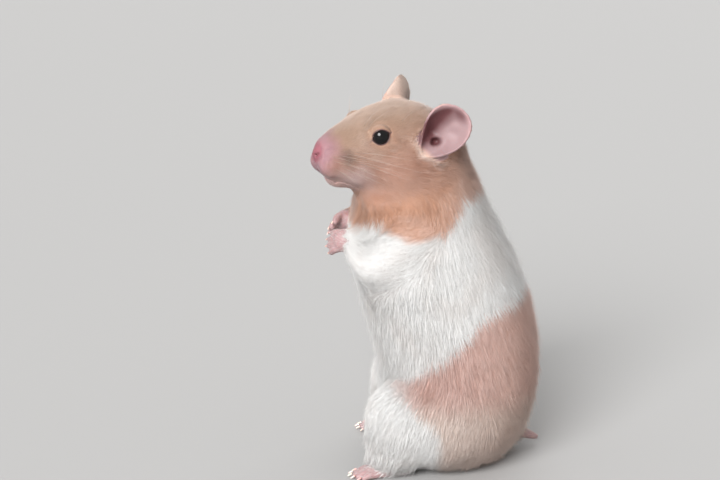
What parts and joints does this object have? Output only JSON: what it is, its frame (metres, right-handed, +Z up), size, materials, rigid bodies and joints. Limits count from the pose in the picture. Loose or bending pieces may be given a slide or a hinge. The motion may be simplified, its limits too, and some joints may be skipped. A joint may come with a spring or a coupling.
{
  "type": "syrian hamster",
  "caption": "Still, life-size Syrian hamster sitting up on its haunches with both forepaws lifted and its head turned a little to its left.",
  "frame": {"origin": "middle of the animal's outline seen from above, at floor level, under its soles and rump", "axes": "+Z up; the trunk faces -Y; +X is the animal's left side"},
  "size_m": [0.0654, 0.0768, 0.126],
  "materials": {
    "golden_coat": "soft short fur",
    "white_coat": "soft fur",
    "bare_skin": "bare pink skin with fine down",
    "eye": "wet and glossy",
    "claw": "translucent horn",
    "whisker": "fine stiff hair"
  },
  "bodies": {
    "root": {"head": "golden_coat", "lower_jaw": "golden_coat", "nose": "bare_skin", "eye_left": "eye", "eye_right": "eye", "ear_left": "bare_skin", "ear_right": "bare_skin", "neck": "golden_coat", "trunk": "white_coat", "foreleg_left": "white_coat", "foreleg_right": "white_coat", "forepaw_left": "bare_skin", "forepaw_right": "bare_skin", "hind_leg_left": "white_coat", "hind_leg_right": "white_coat", "hind_foot_left": "bare_skin", "hind_foot_right": "bare_skin", "tail": "bare_skin", "foreclaw_left_1": "claw", "foreclaw_left_2": "claw", "foreclaw_left_3": "claw", "foreclaw_left_4": "claw", "foreclaw_right_1": "claw", "foreclaw_right_2": "claw", "foreclaw_right_3": "claw", "foreclaw_right_4": "claw", "hindclaw_left_1": "claw", "hindclaw_left_2": "claw", "hindclaw_left_3": "claw", "hindclaw_left_4": "claw", "hindclaw_left_5": "claw", "hindclaw_right_1": "claw", "hindclaw_right_2": "claw", "hindclaw_right_3": "claw", "hindclaw_right_4": "claw", "hindclaw_right_5": "claw"}
  },
  "joints": []
}
